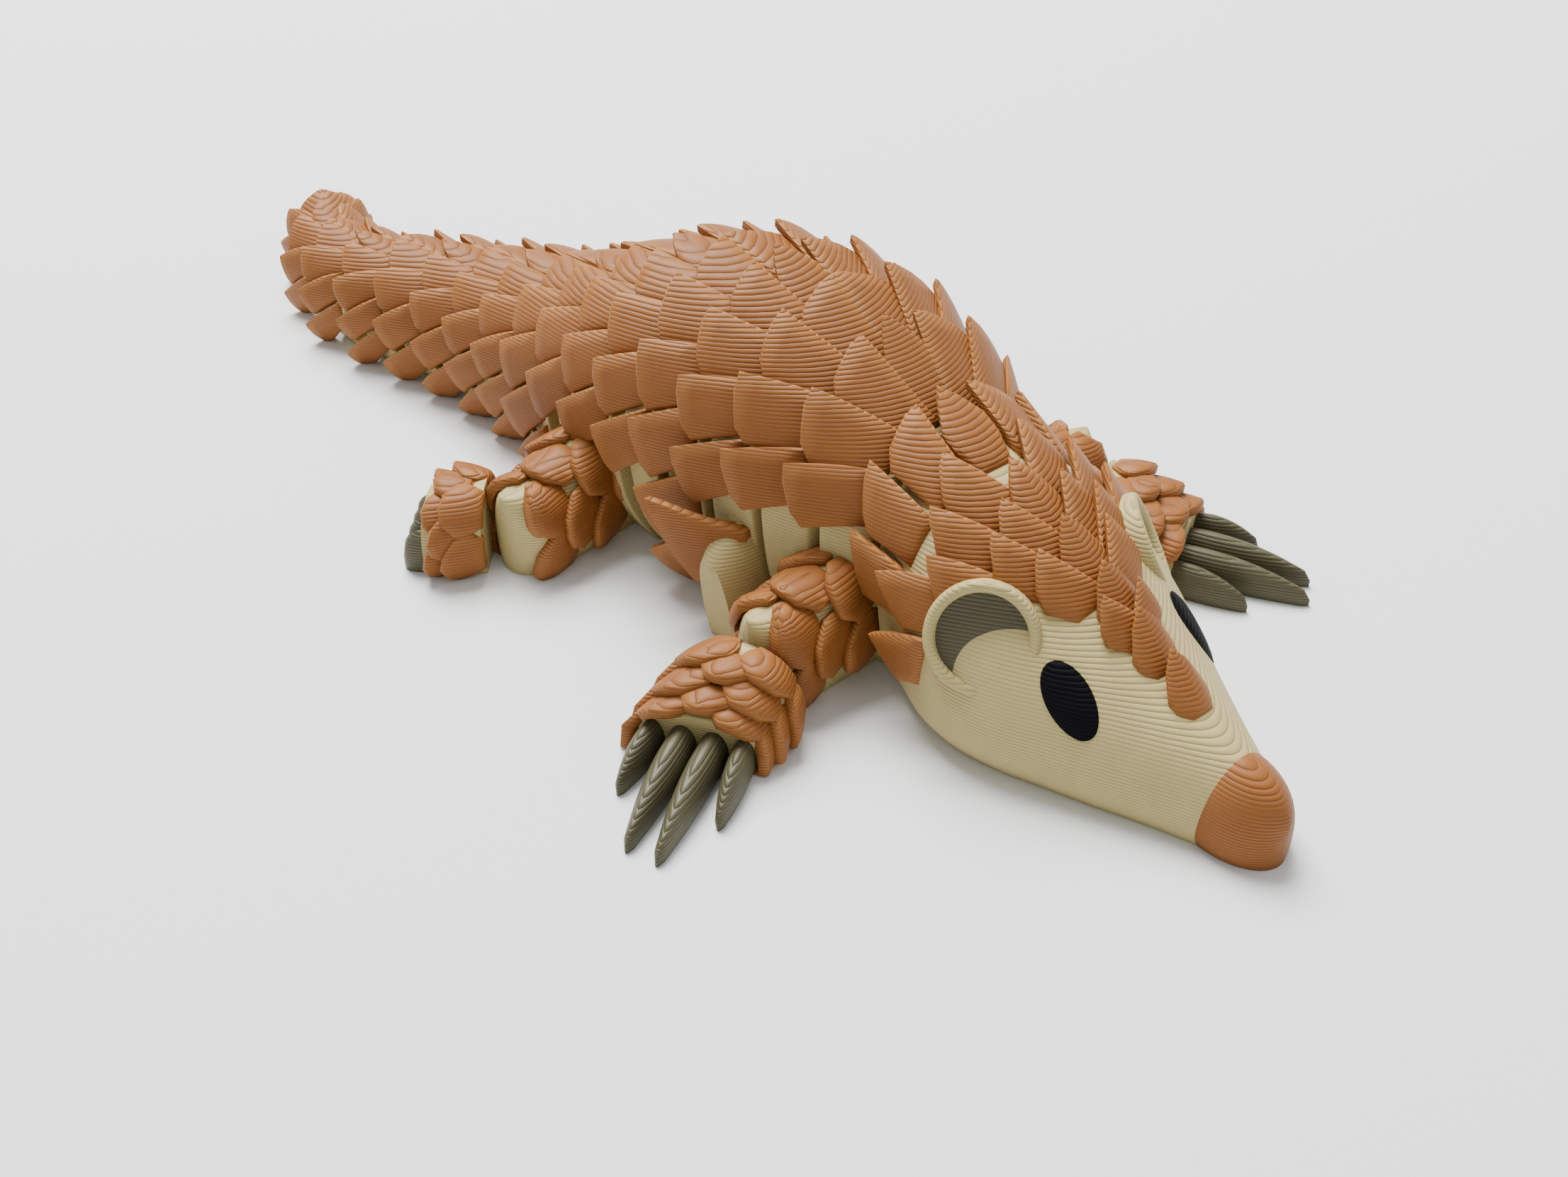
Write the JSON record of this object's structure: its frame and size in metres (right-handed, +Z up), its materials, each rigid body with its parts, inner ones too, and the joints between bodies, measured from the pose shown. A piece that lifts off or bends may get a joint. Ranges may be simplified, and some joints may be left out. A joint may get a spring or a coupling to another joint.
{
  "type": "articulated pangolin toy",
  "caption": "Small printed plastic pangolin toy lying flat, a chain of scaled rings that yaw on hidden pins, with a long-nosed head, clawed front feet and a curved tail.",
  "frame": {"origin": "centre of the bounding box at the level of the flat belly", "axes": "+Z up; the body lies across the X and Y axes, head towards +X and -Y and tail towards -X and +Y, as pictured"},
  "size_m": [0.0744, 0.0704, 0.0198],
  "materials": {
    "caramel_plastic": "satin, with fine printed layer lines",
    "cream_plastic": "satin, with fine printed layer lines",
    "olive_plastic": "satin, with fine printed layer lines",
    "eye_black": "glossy"
  },
  "bodies": {
    "head": {"head": "cream_plastic", "nose": "caramel_plastic", "eye_right": "eye_black", "ear_right": "olive_plastic", "eye_left": "eye_black", "ear_left": "olive_plastic"},
    "neck": {"neck": "caramel_plastic"},
    "torso_1": {"torso_1": "caramel_plastic"},
    "front_leg_right": {"front_leg_right": "caramel_plastic", "front_leg_right_claw_1": "olive_plastic", "front_leg_right_claw_2": "olive_plastic", "front_leg_right_claw_3": "olive_plastic", "front_leg_right_claw_4": "olive_plastic"},
    "front_leg_left": {"front_leg_left": "caramel_plastic", "front_leg_left_claw_1": "olive_plastic", "front_leg_left_claw_2": "olive_plastic", "front_leg_left_claw_3": "olive_plastic", "front_leg_left_claw_4": "olive_plastic"},
    "torso_2": {"torso_2": "caramel_plastic"},
    "torso_3": {"torso_3": "caramel_plastic"},
    "torso_4": {"torso_4": "caramel_plastic"},
    "torso_5": {"torso_5": "caramel_plastic"},
    "torso_6": {"torso_6": "caramel_plastic"},
    "hind_leg_right": {"hind_leg_right": "caramel_plastic", "hind_leg_right_toes": "olive_plastic"},
    "hind_leg_left": {"hind_leg_left": "caramel_plastic", "hind_leg_left_toes": "olive_plastic"},
    "tail_1": {"tail_1": "caramel_plastic"},
    "tail_2": {"tail_2": "caramel_plastic"},
    "tail_3": {"tail_3": "caramel_plastic"},
    "tail_4": {"tail_4": "caramel_plastic"},
    "tail_5": {"tail_5": "caramel_plastic"},
    "tail_6": {"tail_6": "caramel_plastic"},
    "tail_7": {"tail_7": "caramel_plastic"},
    "tail_8": {"tail_8": "caramel_plastic"},
    "tail_9": {"tail_9": "caramel_plastic"},
    "tail_tip": {"tail_tip": "caramel_plastic"}
  },
  "joints": [
    {"name": "head_neck", "type": "hinge", "parent": "neck", "child": "head", "pos_m": [0.01553, -0.01608, 0.00445], "axis": [0, 0, 1], "range_deg": [-3, 5.5]},
    {"name": "neck_torso_1", "type": "hinge", "parent": "torso_1", "child": "neck", "pos_m": [0.01277, -0.01273, 0.00511], "axis": [0, 0, 1], "range_deg": [-1.5, 5.5]},
    {"name": "torso_1_torso_2", "type": "hinge", "parent": "torso_2", "child": "torso_1", "pos_m": [0.00993, -0.00951, 0.00554], "axis": [0, 0, 1], "range_deg": [-1.5, 8]},
    {"name": "torso_2_torso_3", "type": "hinge", "parent": "torso_3", "child": "torso_2", "pos_m": [0.00694, -0.00651, 0.00571], "axis": [0, 0, 1], "range_deg": [-2.5, 9]},
    {"name": "torso_3_torso_4", "type": "hinge", "parent": "torso_3", "child": "torso_4", "pos_m": [0.0038, -0.00374, 0.00564], "axis": [0, 0, 1], "range_deg": [-7, 3]},
    {"name": "torso_4_torso_5", "type": "hinge", "parent": "torso_4", "child": "torso_5", "pos_m": [0.00061, -0.00111, 0.00531], "axis": [0, 0, 1], "range_deg": [-5.5, 5.5]},
    {"name": "torso_5_torso_6", "type": "hinge", "parent": "torso_5", "child": "torso_6", "pos_m": [-0.00254, 0.00147, 0.00475], "axis": [0, 0, 1], "range_deg": [-0.5, 5]},
    {"name": "torso_6_tail_1", "type": "hinge", "parent": "torso_6", "child": "tail_1", "pos_m": [-0.00557, 0.00419, 0.00413], "axis": [0, 0, 1], "range_deg": [-4.5, 6.5]},
    {"name": "tail_1_tail_2", "type": "hinge", "parent": "tail_1", "child": "tail_2", "pos_m": [-0.00854, 0.00698, 0.00356], "axis": [0, 0, 1], "range_deg": [-8.5, 5.5]},
    {"name": "tail_2_tail_3", "type": "hinge", "parent": "tail_2", "child": "tail_3", "pos_m": [-0.0116, 0.00973, 0.00314], "axis": [0, 0, 1], "range_deg": [-11, 5]},
    {"name": "tail_3_tail_4", "type": "hinge", "parent": "tail_3", "child": "tail_4", "pos_m": [-0.01482, 0.01232, 0.00281], "axis": [0, 0, 1], "range_deg": [-15, 5.5]},
    {"name": "tail_4_tail_5", "type": "hinge", "parent": "tail_4", "child": "tail_5", "pos_m": [-0.01828, 0.01463, 0.0026], "axis": [0, 0, 1], "range_deg": [-15, 8]},
    {"name": "tail_5_tail_6", "type": "hinge", "parent": "tail_5", "child": "tail_6", "pos_m": [-0.02195, 0.01667, 0.0026], "axis": [0, 0, 1], "range_deg": [-12, 10]},
    {"name": "tail_6_tail_7", "type": "hinge", "parent": "tail_6", "child": "tail_7", "pos_m": [-0.02573, 0.01853, 0.0026], "axis": [0, 0, 1], "range_deg": [-5.5, 22.5]},
    {"name": "tail_7_tail_8", "type": "hinge", "parent": "tail_7", "child": "tail_8", "pos_m": [-0.02906, 0.02098, 0.0026], "axis": [0, 0, 1], "range_deg": [-4, 22.5]},
    {"name": "tail_8_tail_9", "type": "hinge", "parent": "tail_8", "child": "tail_9", "pos_m": [-0.03152, 0.02417, 0.0026], "axis": [0, 0, 1], "range_deg": [-3, 22.5]},
    {"name": "tail_9_tail_tip", "type": "hinge", "parent": "tail_9", "child": "tail_tip", "pos_m": [-0.03299, 0.02782, 0.0026], "axis": [0, 0, 1], "range_deg": [-8, 22.5]},
    {"name": "front_leg_right_pivot", "type": "hinge", "parent": "torso_1", "child": "front_leg_right", "pos_m": [0.00347, -0.02033, 0.0026], "axis": [0, 0, 1], "range_deg": [-12, 40]},
    {"name": "front_leg_left_pivot", "type": "hinge", "parent": "torso_1", "child": "front_leg_left", "pos_m": [0.02145, -0.00443, 0.0026], "axis": [0, 0, 1], "range_deg": [-5, 40]},
    {"name": "hind_leg_right_pivot", "type": "hinge", "parent": "torso_6", "child": "hind_leg_right", "pos_m": [-0.01242, -0.00779, 0.0026], "axis": [0, 0, 1], "range_deg": [-8, 40]},
    {"name": "hind_leg_left_pivot", "type": "hinge", "parent": "torso_6", "child": "hind_leg_left", "pos_m": [0.00564, 0.01227, 0.0026], "axis": [0, 0, 1], "range_deg": [-15, 30]}
  ]
}
